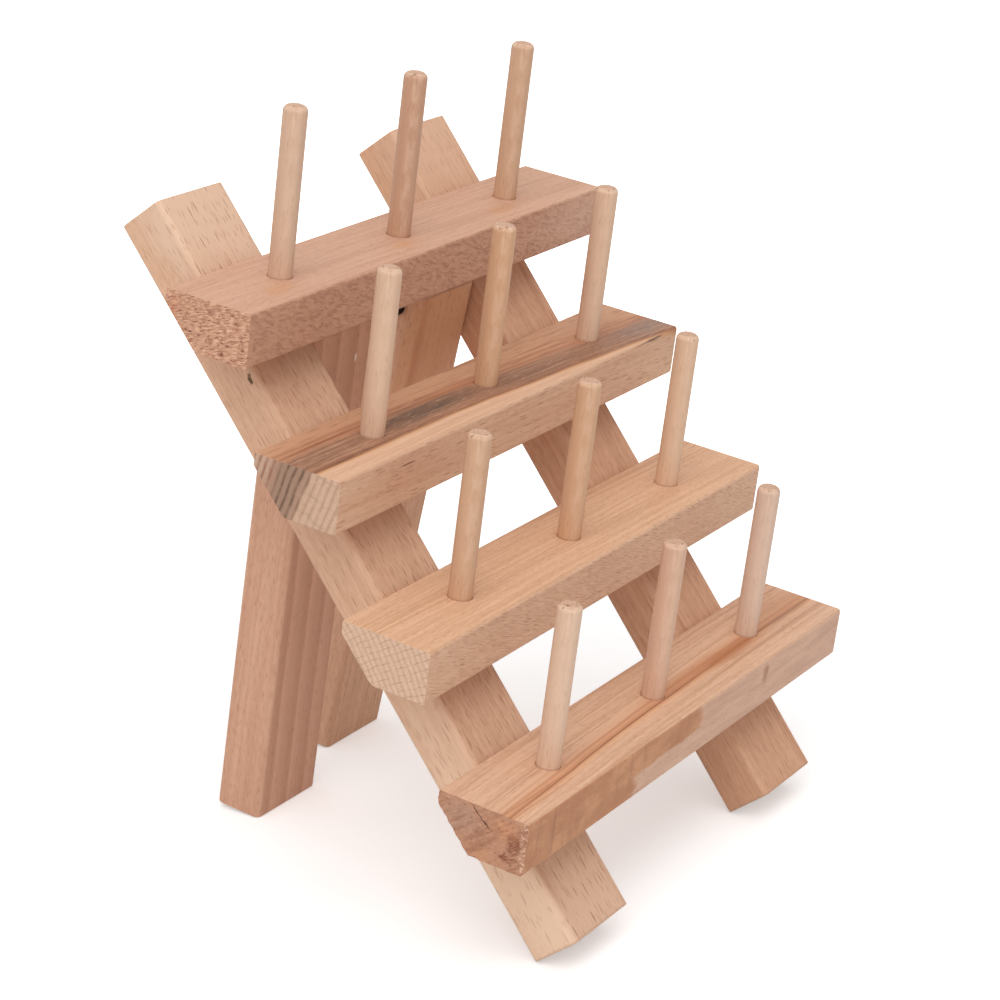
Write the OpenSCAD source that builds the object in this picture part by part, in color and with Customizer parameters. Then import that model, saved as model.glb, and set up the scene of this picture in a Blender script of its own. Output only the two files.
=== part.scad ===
// Thread spool rack: leaning rails carry stepped shelf bars with upright pegs, and two rear legs fold

/* [Rails] */
// Length of each rail along its own axis
rail_len = 268.4; // [264:0.2:290]
// Width of each rail, side to side
rail_w = 34.8; // [33:0.2:37]
// Thickness of each rail, front to back
rail_t = 18.5; // [17.9:0.1:19.5]
// Distance between the centre lines of the two rails
rail_spacing = 134.4; // [132:0.2:138]
// How far the middle of the rails lies to the left of the middle of the shelf bars
rail_shift = 0.8; // [0:0.2:3]
// Lean of the rails from upright, in degrees
rail_lean = 37.1; // [35:0.1:39]
// Rounding of the long edges of the rails
rail_round = 2.2; // [1:0.2:4]

/* [Shelf bars] */
// Depth of a shelf bar's top face, front to back
shelf_d = 32.4; // [31:0.1:35]
// Height of a shelf bar
shelf_h = 18; // [17:0.2:19.4]
// Slant of the back face from square, in degrees
shelf_bevel = 43; // [41:0.1:44]
// Height of the upright land that is left above the slanted back
shelf_land = 4.4; // [2.4:0.2:5]
// Rounding of the two long front edges
shelf_round = 1.2; // [0.8:0.2:3]
// Length of the top shelf bar
shelf_top_len = 216; // [206:0.2:230]
// Length of the upper middle shelf bar
shelf_upper_len = 216.4; // [206:0.2:230]
// Length of the lower middle shelf bar
shelf_lower_len = 221.6; // [206:0.2:230]
// Length of the bottom shelf bar
shelf_bottom_len = 220.4; // [206:0.2:230]
// How far the top shelf bar lies to the right of the other bars
shelf_top_aside = 1.6; // [0:0.2:3]
// From the upper end of the rails down to the top shelf bar's slanted back
shelf_top_drop = 31.4; // [29:0.2:34]
// Step down the rails from the top shelf bar to the upper middle one
shelf_upper_step = 58; // [55:0.2:62]
// Step down the rails from the upper middle shelf bar to the lower middle one
shelf_lower_step = 58.4; // [55:0.2:62]
// Step down the rails from the lower middle shelf bar to the bottom one
shelf_bottom_step = 59.8; // [55:0.2:62]

/* [Pegs] */
// Diameter of a peg
peg_d = 8; // [6:0.25:9]
// Height of a peg above its shelf bar
peg_h = 56; // [45:0.5:65]
// Distance between neighbouring pegs
peg_pitch = 68.5; // [66:0.1:69.4]
// How far the upper middle row of pegs stands to the right of the middle of its bar
peg_upper_aside = 1.4; // [0:0.2:3]
// How far the bottom row of pegs stands to the left of the middle of its bar
peg_bottom_aside = 3; // [0:0.2:3]
// Rounding of the upper rim of a peg
peg_round = 2; // [0.5:0.1:2.5]
// Depth of a peg's seat in the shelf bar
peg_seat = 10; // [7:0.5:12]
// How much thinner the seated end of a peg is
peg_shoulder = 0.2; // [0.1:0.05:0.4]
// Radial clearance of the seated end in its hole
peg_clear = 0.05; // [0.02:0.01:0.1]
// Width of the eased mouth of a peg's hole
peg_mouth = 0.5; // [0.3:0.1:0.8]

/* [Rear legs] */
// Width of each leg, side to side
leg_w = 34.8; // [31:0.2:36]
// Thickness of each leg, front to back
leg_t = 17.9; // [16.5:0.1:17.9]
// Angle between the left leg and the rails when it is open
leg_angle_left = 44.3; // [42:0.1:48]
// Angle between the right leg and the rails when it is open
leg_angle_right = 48.9; // [44:0.1:50]
// Rounding of the long edges of the legs
leg_round = 1.8; // [1:0.2:4]
// Gap between a leg and the rail beside it
leg_gap = 0.9; // [0.4:0.1:1]
// Gap between the slanted top of an open leg and the back of the top shelf bar
leg_stop_gap = 0.3; // [0.3:0.05:0.5]
// Gap between a folded leg and the backs of the shelf bars
leg_fold_gap = 0.4; // [0.35:0.05:0.8]

/* [Pivot screws] */
// From the upper end of the rails down to the pivot
pivot_drop = 57.4; // [55:0.2:60]
// Diameter of the pivot screw
pivot_d = 4; // [3.5:0.25:4.5]
// Radial running clearance of the pivot screw in the leg
pivot_clear = 0.06; // [0.03:0.01:0.1]
// Depth of the pivot screw in the rail
pivot_bite = 22; // [16:1:25]
// Diameter of the pivot screw's head
pivot_head_d = 6.4; // [6:0.2:8]
// Height of the pivot screw's head
pivot_head_h = 2.4; // [2:0.2:3]
// Side play between the head and the leg
pivot_play = 0.3; // [0.3:0.05:0.5]

/* [Shelf screws] */
// Diameter of the screws that hold the shelf bars
screw_d = 4; // [3.5:0.25:4.5]
// Diameter of their countersunk heads
screw_head_d = 8; // [7:0.25:9]
// How deep the heads lie under the back of the rail
screw_sink = 0.4; // [0.2:0.1:0.8]
// Length of the screws inside the shelf bar
screw_bite = 12; // [9:0.5:12.5]
// How far the screws stand to the left of the middle of their rail
screw_aside = 10.5; // [10:0.25:11]
// Height of the screws above the lower back edge of the shelf bar
screw_up = 7; // [6:0.25:8]
// Clearance around the screws
screw_clear = 0.05; // [0.03:0.01:0.1]

/* [Hidden] */

$fn = 64;
cut_over = 1;
wood = [0.82, 0.66, 0.54];
wood_dark = [0.74, 0.56, 0.44];
wood_pale = [0.84, 0.69, 0.57];
steel_dark = [0.05, 0.045, 0.04];

// Rail places across the rack
rail_left_x = -rail_shift - rail_spacing / 2;
rail_right_x = -rail_shift + rail_spacing / 2;
inner_left_x = rail_left_x + rail_w / 2;
inner_right_x = rail_right_x - rail_w / 2;
leg_left_x = inner_left_x + leg_gap + leg_w / 2;
leg_right_x = inner_right_x - leg_gap - leg_w / 2;

// Shelf bar section: the slanted back runs over this height along the rails
slant_h = shelf_h - shelf_land;
back_len = slant_h / cos(shelf_bevel);
back_run = slant_h * tan(shelf_bevel);
shelf_top_at = rail_len - shelf_top_drop;
shelf_upper_at = shelf_top_at - shelf_upper_step;
shelf_lower_at = shelf_upper_at - shelf_lower_step;
shelf_bottom_at = shelf_lower_at - shelf_bottom_step;
shelf_ats = [shelf_top_at, shelf_upper_at, shelf_lower_at, shelf_bottom_at];

// Pivot line, first in the rails' own frame and then above the floor
pivot_at = rail_len - pivot_drop;
pivot_in = rail_t / 2 - leg_fold_gap;
pivot_y = pivot_at * sin(rail_lean) - pivot_in * cos(rail_lean);
pivot_z = pivot_at * cos(rail_lean) + pivot_in * sin(rail_lean);

// Each leg reaches the floor with its front lower edge
tilt_left = leg_angle_left - rail_lean;
tilt_right = leg_angle_right - rail_lean;
leg_low_left = (pivot_z - leg_t / 2 * sin(tilt_left)) / cos(tilt_left);
leg_low_right = (pivot_z - leg_t / 2 * sin(tilt_right)) / cos(tilt_right);
leg_high = rail_t + leg_t;
heel_left = pivot_y + leg_low_left * sin(tilt_left) + leg_t / 2 * cos(tilt_left);
heel_right = pivot_y + leg_low_right * sin(tilt_right) + leg_t / 2 * cos(tilt_right);

// The frame's origin is on the floor under the middle of the rack
back_y = max(heel_left, heel_right, rail_len * sin(rail_lean));
front_y = min(-rail_t * cos(rail_lean), shelf_bottom_at * sin(rail_lean) - rail_t * cos(rail_lean)
    - shelf_land * sin(shelf_bevel - rail_lean)
    - shelf_d * cos(shelf_bevel - rail_lean));
shift_y = -(back_y + front_y) / 2;

screw_r = screw_d / 2;
screw_head_r = screw_head_d / 2;
screw_head_h = screw_head_r - screw_r;
screw_tip = screw_d;
screw_hole_h = rail_t - screw_sink + screw_bite + screw_clear;
slot_w = screw_d / 4;
slot_l = screw_head_d * 0.6;
slot_h = screw_head_h * 0.7;
pivot_slot_l = pivot_head_d * 0.55;
pivot_slot_w = pivot_d / 5;
pivot_slot_h = pivot_head_h * 0.5;

// Stands what is drawn in the rails' own frame on the floor: x across, y to the back, z up the rails
module leaning() {
    translate([0, shift_y, 0])
        rotate([-rail_lean, 0, 0])
            children();
}

// Frame of a shelf bar: origin at its back upper edge, y to the back, z out of its top
module on_shelf(at) {
    leaning()
        translate([0, -rail_t, at])
            rotate([shelf_bevel, 0, 0])
                translate([0, 0, shelf_land])
                    children();
}

// Rectangle with rounded corners, middle at the origin
module rounded_rect(w, t, r) {
    union() {
        square([w - 2 * r, t], center = true);
        square([w, t - 2 * r], center = true);
        for (sx = [-1, 1])
            for (sy = [-1, 1])
                translate([sx * (w / 2 - r), sy * (t / 2 - r)])
                    circle(r);
    }
}

// Places of the shelf screws on one rail
module at_screws(x) {
    for (at = shelf_ats)
        translate([x - screw_aside, -screw_sink, at - back_len + screw_up])
            rotate([90, 0, 0])
                children();
}

module screw_hole() {
    translate([0, 0, -screw_sink - cut_over])
        cylinder(h = screw_sink + cut_over, r = screw_head_r + screw_clear);
    cylinder(h = screw_head_h, r1 = screw_head_r + screw_clear, r2 = screw_r + screw_clear);
    cylinder(h = rail_t + screw_bite + screw_clear, r = screw_r + screw_clear);
}

module rail(x, inner_x, side) {
    leaning()
        difference() {
            translate([x, -rail_t / 2, 0])
                linear_extrude(rail_len)
                    rounded_rect(rail_w, rail_t, rail_round);
            at_screws(x)
                screw_hole();
            translate([inner_x, -pivot_in, pivot_at])
                rotate([0, side * 90, 0])
                    translate([0, 0, -cut_over])
                        cylinder(h = pivot_bite + pivot_clear + cut_over, r = pivot_d / 2 + pivot_clear);
        }
}

module shelf_section() {
    union() {
        polygon([
            [0, 0],
            [-shelf_d + shelf_round, 0],
            [-shelf_d + shelf_round, -shelf_h],
            [-back_run, -shelf_h],
            [0, -shelf_land]
        ]);
        translate([-shelf_d, -shelf_h + shelf_round])
            square([shelf_round * 2, shelf_h - 2 * shelf_round]);
        translate([-shelf_d + shelf_round, -shelf_round])
            circle(shelf_round);
        translate([-shelf_d + shelf_round, -shelf_h + shelf_round])
            circle(shelf_round);
    }
}

module shelf(at, len, aside, peg_aside) {
    difference() {
        on_shelf(at)
            translate([aside - len / 2, 0, 0])
                rotate([90, 0, 90])
                    linear_extrude(len)
                        shelf_section();
        on_shelf(at)
            for (i = [-1, 0, 1])
                translate([i * peg_pitch + peg_aside, -shelf_d / 2, 0]) {
                    translate([0, 0, -peg_seat])
                        cylinder(h = peg_seat + cut_over, r = peg_d / 2 - peg_shoulder + peg_clear);
                    translate([0, 0, -peg_mouth])
                        cylinder(h = peg_mouth * 2, r1 = peg_d / 2, r2 = peg_d / 2 + peg_mouth * 2);
                }
        leaning()
            for (x = [rail_left_x, rail_right_x])
                translate([x - screw_aside, -screw_sink, at - back_len + screw_up])
                    rotate([90, 0, 0])
                        cylinder(h = screw_hole_h, r = screw_r + screw_clear);
    }
}

module peg(at, column, aside) {
    on_shelf(at)
        translate([column * peg_pitch + aside, -shelf_d / 2, 0]) {
            translate([0, 0, -peg_seat])
                cylinder(h = peg_seat, r = peg_d / 2 - peg_shoulder);
            rotate_extrude()
                union() {
                    square([peg_d / 2, peg_h - peg_round]);
                    square([peg_d / 2 - peg_round, peg_h]);
                    translate([peg_d / 2 - peg_round, peg_h - peg_round])
                        intersection() {
                            circle(peg_round);
                            square(peg_round);
                        }
                }
        }
}

module leg(x, low, open) {
    leaning()
        difference() {
            translate([x, -pivot_in, pivot_at])
                rotate([open, 0, 0])
                    translate([0, 0, -low])
                        linear_extrude(low + leg_high)
                            rounded_rect(leg_w, leg_t, leg_round);
            translate([x - leg_w, -rail_t + leg_stop_gap - leg_high * 2, pivot_at - leg_high * 2])
                cube([leg_w * 2, leg_high * 2, leg_high * 4]);
            translate([x - leg_w, -pivot_in, pivot_at])
                rotate([0, 90, 0])
                    cylinder(h = leg_w * 2, r = pivot_d / 2 + pivot_clear);
        }
}

// Frame of a pivot screw: origin on the rail's inner face, z away from the rail
module on_pivot(inner_x, side) {
    leaning()
        translate([inner_x, -pivot_in, pivot_at])
            rotate([0, side * -90, 0])
                children();
}

module pivot_screw(inner_x, side) {
    seat = leg_gap + leg_w + pivot_play;
    on_pivot(inner_x, side)
        difference() {
            union() {
                translate([0, 0, -pivot_bite + pivot_d])
                    cylinder(h = pivot_bite - pivot_d + seat, r = pivot_d / 2);
                translate([0, 0, -pivot_bite])
                    cylinder(h = pivot_d, r1 = pivot_d / 8, r2 = pivot_d / 2);
                translate([0, 0, seat])
                    cylinder(h = pivot_head_h / 2, r = pivot_head_d / 2);
                translate([0, 0, seat + pivot_head_h / 2])
                    cylinder(h = pivot_head_h / 2, r1 = pivot_head_d / 2, r2 = pivot_head_d / 3);
            }
            for (a = [45, 135])
                rotate([0, 0, a])
                    translate([-pivot_slot_l / 2, -pivot_slot_w / 2, seat + pivot_head_h - pivot_slot_h])
                        cube([pivot_slot_l, pivot_slot_w, pivot_slot_h + cut_over]);
        }
}

module shelf_screw() {
    difference() {
        union() {
            cylinder(h = screw_head_h, r1 = screw_head_r, r2 = screw_r);
            cylinder(h = rail_t - screw_sink + screw_bite - screw_tip, r = screw_r);
            translate([0, 0, rail_t - screw_sink + screw_bite - screw_tip])
                cylinder(h = screw_tip, r1 = screw_r, r2 = screw_r / 4);
        }
        for (a = [45, 135])
            rotate([0, 0, a])
                translate([-slot_l / 2, -slot_w / 2, -cut_over])
                    cube([slot_l, slot_w, slot_h + cut_over]);
    }
}

module rail_left() {
    color(wood)
        rail(rail_left_x, inner_left_x, -1);
}

module rail_right() {
    color(wood)
        rail(rail_right_x, inner_right_x, 1);
}

module shelf_top() {
    color(wood_dark)
        shelf(shelf_top_at, shelf_top_len, shelf_top_aside, 0);
}

module shelf_upper() {
    color(wood_dark)
        shelf(shelf_upper_at, shelf_upper_len, 0, peg_upper_aside);
}

module shelf_lower() {
    color(wood_dark)
        shelf(shelf_lower_at, shelf_lower_len, 0, 0);
}

module shelf_bottom() {
    color(wood_dark)
        shelf(shelf_bottom_at, shelf_bottom_len, 0, -peg_bottom_aside);
}

module peg_node(at, column, aside) {
    color(wood_pale)
        peg(at, column, aside);
}

module leg_left() {
    color(wood)
        leg(leg_left_x, leg_low_left, leg_angle_left);
}

module leg_right() {
    color(wood)
        leg(leg_right_x, leg_low_right, leg_angle_right);
}

module pivot_screw_left() {
    color(steel_dark)
        pivot_screw(inner_left_x, -1);
}

module pivot_screw_right() {
    color(steel_dark)
        pivot_screw(inner_right_x, 1);
}

module shelf_screws() {
    color(steel_dark)
        leaning() {
            at_screws(rail_left_x)
                shelf_screw();
            at_screws(rail_right_x)
                shelf_screw();
        }
}

rail_left();
rail_right();
shelf_top();
shelf_upper();
shelf_lower();
shelf_bottom();
peg_node(shelf_top_at, -1, 0);  // peg_top_left
peg_node(shelf_top_at, 0, 0);  // peg_top_middle
peg_node(shelf_top_at, 1, 0);  // peg_top_right
peg_node(shelf_upper_at, -1, peg_upper_aside);  // peg_upper_left
peg_node(shelf_upper_at, 0, peg_upper_aside);  // peg_upper_middle
peg_node(shelf_upper_at, 1, peg_upper_aside);  // peg_upper_right
peg_node(shelf_lower_at, -1, 0);  // peg_lower_left
peg_node(shelf_lower_at, 0, 0);  // peg_lower_middle
peg_node(shelf_lower_at, 1, 0);  // peg_lower_right
peg_node(shelf_bottom_at, -1, -peg_bottom_aside);  // peg_bottom_left
peg_node(shelf_bottom_at, 0, -peg_bottom_aside);  // peg_bottom_middle
peg_node(shelf_bottom_at, 1, -peg_bottom_aside);  // peg_bottom_right
leg_left();
leg_right();
pivot_screw_left();
pivot_screw_right();
shelf_screws();
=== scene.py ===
import math

import bmesh
import bpy
from mathutils import Matrix, Vector, noise


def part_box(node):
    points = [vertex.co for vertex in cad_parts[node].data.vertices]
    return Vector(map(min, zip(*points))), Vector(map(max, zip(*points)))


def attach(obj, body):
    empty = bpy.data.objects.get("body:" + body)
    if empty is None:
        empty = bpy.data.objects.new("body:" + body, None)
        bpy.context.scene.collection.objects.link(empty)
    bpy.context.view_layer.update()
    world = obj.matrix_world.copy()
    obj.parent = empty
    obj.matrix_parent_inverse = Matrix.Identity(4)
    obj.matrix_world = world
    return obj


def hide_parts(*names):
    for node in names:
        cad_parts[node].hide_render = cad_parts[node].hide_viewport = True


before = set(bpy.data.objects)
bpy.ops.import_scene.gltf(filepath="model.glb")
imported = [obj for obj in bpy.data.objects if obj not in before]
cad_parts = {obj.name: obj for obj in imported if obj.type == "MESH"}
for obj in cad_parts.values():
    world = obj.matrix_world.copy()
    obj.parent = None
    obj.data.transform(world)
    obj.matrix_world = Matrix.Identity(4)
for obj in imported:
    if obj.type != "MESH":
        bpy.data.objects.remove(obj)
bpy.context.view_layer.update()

MM = 0.001

# Sizes of the rack in millimetres and degrees, the same as in the part's source
RAIL_LEN = 268.4
RAIL_W = 34.8
RAIL_T = 18.5
RAIL_SPACING = 134.4
RAIL_SHIFT = 0.8
RAIL_LEAN = 37.1
RAIL_ROUND = 2.2
SHELF_D = 32.4
SHELF_H = 18.0
SHELF_BEVEL = 43.0
SHELF_LAND = 4.4
SHELF_ROUND = 1.2
SHELF_LEN = {"top": 216.0, "upper": 216.4, "lower": 221.6, "bottom": 220.4}
SHELF_AT = {"top": 237.0, "upper": 179.0, "lower": 120.6, "bottom": 60.8}
SHELF_ASIDE = {"top": 1.6, "upper": 0.0, "lower": 0.0, "bottom": 0.0}
PEG_ASIDE = {"top": 0.0, "upper": 1.4, "lower": 0.0, "bottom": -3.0}
PEG_D = 8.0
PEG_H = 56.0
PEG_PITCH = 68.5
PEG_ROUND = 2.0
LEG_ANGLES = {"left": 44.3, "right": 48.9}
LEG_W = 34.8
LEG_T = 17.9
LEG_GAP = 0.9
LEG_STOP_GAP = 0.3
PIVOT_AT = 211.0
PIVOT_IN = 8.85
SCREW_ASIDE = 10.5
SCREW_UP = 7.0
SCREW_SINK = 0.4
SCREW_HEAD_D = 8.0
SCREW_D = 4.0

# Finer shapes of this scene: roundings, torn ends, seats and mouths of holes
EASED = 0.4
EASED_STEPS = 2
ROUND_STEPS = 5
LEG_ROUND = 2.2
SHELF_STEPS = 4
SHELF_HEEL = {"top": EASED, "upper": 1.5, "lower": 1.5, "bottom": EASED}
TORN_SEED = {"top": 11.0, "bottom": 47.0}
TORN_PITCH = 0.9
TORN_DEPTH = 0.35
PEG_SIDES = 48
PEG_STEPS = 6
PEG_SUNK = 2.5
PEG_CROWN_INSETS = (0.7, 0.8)
HOLE_SIDES = 40
HOLE_PLAY = 0.06
HOLE_SPARE = 0.5
PEG_MOUTH = 0.25
SCREW_MOUTH = 0.3
SCREW_MOUTH_END = (0.08, 0.2)
SCREW_CONE = 2.2
LEG_SPARE = 60
SHARP_FROM = 35

SIDES = {"left": -1, "right": 1}
COLUMNS = {"left": -1, "middle": 0, "right": 1}

# Faces that carry single marks, on the piece's own frame
RAIL_LEFT = -RAIL_W / 2
SHELF_FRONT = -SHELF_D


def turn(degrees):
    return Matrix.Rotation(math.radians(degrees), 4, "X")


def move(x, y, z):
    return Matrix.Translation(Vector((x, y, z)) * MM)


# A piece's own frame has X along its grain; this one stands the grain up
GRAIN_UP = Matrix(((0, 1, 0, 0), (0, 0, 1, 0), (1, 0, 0, 0), (0, 0, 0, 1)))
FOOT_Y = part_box("rail_left")[0].y / MM + RAIL_T * math.cos(math.radians(RAIL_LEAN))
LEANING = move(0, FOOT_Y, 0) @ turn(-RAIL_LEAN)


def rail_x(side):
    return SIDES[side] * RAIL_SPACING / 2 - RAIL_SHIFT


def rail_frame(side):
    return LEANING @ move(rail_x(side), -RAIL_T / 2, 0) @ GRAIN_UP


def shelf_frame(row):
    return LEANING @ move(0, -RAIL_T, SHELF_AT[row]) @ turn(SHELF_BEVEL) @ move(0, 0, SHELF_LAND)


def peg_frame(row, column):
    return shelf_frame(row) @ move(COLUMNS[column] * PEG_PITCH + PEG_ASIDE[row], -SHELF_D / 2, 0) @ GRAIN_UP


def leg_frame(side):
    inside = rail_x(side) - SIDES[side] * (RAIL_W / 2 + LEG_GAP + LEG_W / 2)
    return LEANING @ move(inside, -PIVOT_IN, PIVOT_AT) @ turn(LEG_ANGLES[side]) @ GRAIN_UP


# Mesh making


def only(found, kind):
    return [part for part in found if isinstance(part, kind)]


def flat_bar(width, thickness):
    """The (y, z) corners of a rectangular section around the axis."""
    y, z = width / 2, thickness / 2
    return [(-y, -z), (y, -z), (y, z), (-y, z)]


def bar(start, end, corners):
    """A closed bar along X whose section has the given (y, z) corners."""
    bm = bmesh.new()
    section = bm.faces.new([bm.verts.new(Vector((start, y, z)) * MM) for y, z in corners])
    pushed = bmesh.ops.extrude_face_region(bm, geom=[section])["geom"]
    bmesh.ops.translate(bm, vec=Vector((end - start, 0, 0)) * MM, verts=only(pushed, bmesh.types.BMVert))
    bmesh.ops.recalc_face_normals(bm, faces=bm.faces)
    return bm


def ease(bm, edges, radius, steps):
    bmesh.ops.bevel(
        bm,
        geom=edges,
        offset=radius * MM,
        offset_type="OFFSET",
        segments=steps,
        profile=0.5,
        affect="EDGES",
        clamp_overlap=True,
        material=-1,
    )


def near(a, b):
    return abs(a - b) < 1e-3 * MM


def long_edges(bm, corners):
    """The edges that run along the bar at these (y, z) corners."""
    spots = [(y * MM, z * MM) for y, z in corners]
    return [
        e
        for e in bm.edges
        if any(all(near(v.co.y, y) and near(v.co.z, z) for v in e.verts) for y, z in spots)
    ]


def end_edges(bm, x):
    return [e for e in bm.edges if all(near(v.co.x, x * MM) for v in e.verts)]


def widest_face(bm, direction):
    facing = [f for f in bm.faces if f.normal.dot(Vector(direction)) > 0.999]
    return max(facing, key=lambda f: f.calc_area())


def drill(bm, face, spots, steps):
    """Opens holes along Z in a flat face; steps are (radius, depth) from the mouth inwards."""
    rim = list(face.edges)
    upward = face.normal.copy()
    level = face.verts[0].co.z
    bmesh.ops.delete(bm, geom=[face], context="FACES_ONLY")
    mouths = []
    for x, y in spots:
        centre = Vector((x * MM, y * MM, level))
        ring = bmesh.ops.create_circle(
            bm,
            cap_ends=False,
            radius=steps[0][0] * MM,
            segments=HOLE_SIDES,
            matrix=Matrix.Translation(centre),
        )["verts"]
        mouths.append((centre, list({e for v in ring for e in v.link_edges})))
    loose = rim + [e for _, edges in mouths for e in edges]
    bmesh.ops.triangle_fill(bm, use_beauty=True, edges=loose, normal=upward)
    for centre, edges in mouths:
        reached = steps[0]
        for step in steps[1:]:
            pushed = bmesh.ops.extrude_edge_only(bm, edges=edges)["geom"]
            verts = only(pushed, bmesh.types.BMVert)
            edges = [e for e in only(pushed, bmesh.types.BMEdge) if all(v in verts for v in e.verts)]
            narrow = step[0] / reached[0]
            bmesh.ops.scale(bm, vec=(narrow, narrow, 1), space=Matrix.Translation(-centre), verts=verts)
            bmesh.ops.translate(bm, vec=-upward * (step[1] - reached[1]) * MM, verts=verts)
            reached = step
        bmesh.ops.contextual_create(bm, geom=edges)


def end_cap(bm, x):
    return [f for f in bm.faces if all(near(v.co.x, x * MM) for v in f.verts)]


def rough_end(bm, x, pitch, depth, seed):
    """Cuts a sawn end into small facets and pushes them in and out of its plane."""
    spans = {1: (-SHELF_D, 0), 2: (-SHELF_H, 0)}
    for axis, (low, high) in spans.items():
        across = Vector((0, 0, 0))
        across[axis] = 1
        cuts = int((high - low) / pitch)
        for i in range(1, cuts):
            cap = end_cap(bm, x)
            around = list({e for f in cap for e in f.edges}) + list({v for f in cap for v in f.verts})
            at = across * (low + (high - low) * i / cuts) * MM
            bmesh.ops.bisect_plane(bm, geom=cap + around, dist=1e-7, plane_co=at, plane_no=across)
    outward = 1 if x > 0 else -1
    for v in {v for f in end_cap(bm, x) for v in f.verts}:
        spot = v.co / MM
        coarse = noise.noise(spot * 0.9 + Vector((seed, 0, 0)))
        torn = coarse + 0.6 * noise.noise(spot * 2.3 + Vector((0, seed, 0)))
        bite = max(0.0, noise.noise(spot * 0.45 + Vector((0, 0, seed))) - 0.25)
        v.co.x += outward * depth * MM * (torn - 0.5 - 2.2 * bite)


def show(name, data):
    made = bpy.data.objects.new(name, data)
    bpy.context.scene.collection.objects.link(made)
    return made


def place_piece(bm, name, own_frame, material, body, node):
    """Closes the mesh, puts it where its node is and hands it to the frame."""
    bmesh.ops.remove_doubles(bm, verts=bm.verts, dist=1e-4 * MM)
    bmesh.ops.recalc_face_normals(bm, faces=bm.faces)
    bmesh.ops.transform(bm, matrix=own_frame, verts=bm.verts)
    mesh = bpy.data.meshes.new(name)
    bm.to_mesh(mesh)
    bm.free()
    mesh.polygons.foreach_set("use_smooth", [True] * len(mesh.polygons))
    mesh.set_sharp_from_angle(angle=math.radians(SHARP_FROM))
    mesh.materials.append(material)
    piece = show(name, mesh)
    level = piece.modifiers.new("even shading", "WEIGHTED_NORMAL")
    level.mode = "FACE_AREA"
    level.keep_sharp = True
    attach(piece, body)
    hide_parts(node)


# Node making


def tint(red, green, blue):
    """A colour read off as 0 to 255, as the shader takes it."""
    parts = [c / 255 for c in (red, green, blue)]
    return tuple(p / 12.92 if p <= 0.04045 else ((p + 0.055) / 1.055) ** 2.4 for p in parts) + (1.0,)


def add(tree, kind, inputs=None, **settings):
    made = tree.nodes.new(kind)
    for key, value in settings.items():
        setattr(made, key, value)
    for key, value in (inputs or {}).items():
        if isinstance(value, bpy.types.NodeSocket):
            tree.links.new(value, made.inputs[key])
        else:
            made.inputs[key].default_value = value
    return made


def calc(tree, operation, *values, clamp=False):
    made = add(tree, "ShaderNodeMath", dict(enumerate(values)), operation=operation, use_clamp=clamp)
    return made.outputs[0]


def vector_calc(tree, operation, first, second):
    made = add(tree, "ShaderNodeVectorMath", {0: first, 1: second}, operation=operation)
    return made.outputs["Value" if operation in ("DOT_PRODUCT", "LENGTH") else "Vector"]


def layer(tree, under, over, mask):
    return add(tree, "ShaderNodeMix", {0: mask, 6: under, 7: over}, data_type="RGBA").outputs[2]


def ramp_between(tree, value, low, high, start=0.0, end=1.0, smooth=True):
    made = add(
        tree,
        "ShaderNodeMapRange",
        {"Value": value, "From Min": low, "From Max": high, "To Min": start, "To Max": end},
        interpolation_type="SMOOTHSTEP" if smooth else "LINEAR",
    )
    return made.outputs["Result"]


def speckle(tree, place, stretch, detail=2.0, roughness=0.5):
    at = vector_calc(tree, "MULTIPLY", place, stretch)
    given = {"Vector": at, "Scale": 1.0, "Detail": detail, "Roughness": roughness}
    return add(tree, "ShaderNodeTexNoise", given).outputs[0]


def bands(tree, value, stops):
    """A colour ramp whose stops are (position, colour)."""
    made = add(tree, "ShaderNodeValToRGB", {"Fac": value})
    strip = made.color_ramp
    while len(strip.elements) < len(stops):
        strip.elements.new(0.5)
    for element, (position, colour) in zip(strip.elements, stops):
        element.position = position
        element.color = colour
    return made.outputs["Color"]


def effect(name, inputs, outputs):
    """A new node group with these named sockets; the defaults tell each socket's kind."""
    tree = bpy.data.node_groups.new(name, "ShaderNodeTree")
    for label, default in inputs.items():
        if isinstance(default, float):
            kind = "NodeSocketFloat"
        elif len(default) == 4:
            kind = "NodeSocketColor"
        else:
            kind = "NodeSocketVector"
        socket = tree.interface.new_socket(name=label, in_out="INPUT", socket_type=kind)
        socket.default_value = default
    for label, kind in outputs.items():
        tree.interface.new_socket(name=label, in_out="OUTPUT", socket_type=kind)
    return tree, add(tree, "NodeGroupInput").outputs, add(tree, "NodeGroupOutput").inputs


def apply_effect(tree, group, inputs):
    return add(tree, "ShaderNodeGroup", inputs, node_tree=group).outputs


def cleared(owner):
    """The emptied node tree of a material or world."""
    owner.use_nodes = True
    owner.node_tree.nodes.clear()
    return owner.node_tree


def raised(tree, height, strength, depth):
    """The normal of a relief up to so many millimetres deep."""
    given = {"Height": height, "Strength": strength, "Distance": depth * MM}
    return add(tree, "ShaderNodeBump", given).outputs[0]


def surface(tree, shader, kind="ShaderNodeOutputMaterial"):
    tree.links.new(shader.outputs[0], add(tree, kind).inputs["Surface"])


def cell_points(tree, place, stretch):
    """The outputs of stretched cells: the distance to each one's middle and its own random colour."""
    at = vector_calc(tree, "MULTIPLY", place, stretch)
    kind = {"voronoi_dimensions": "3D", "feature": "F1"}
    return add(tree, "ShaderNodeTexVoronoi", {"Vector": at, "Scale": 1.0, "Randomness": 1.0}, **kind).outputs


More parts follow.
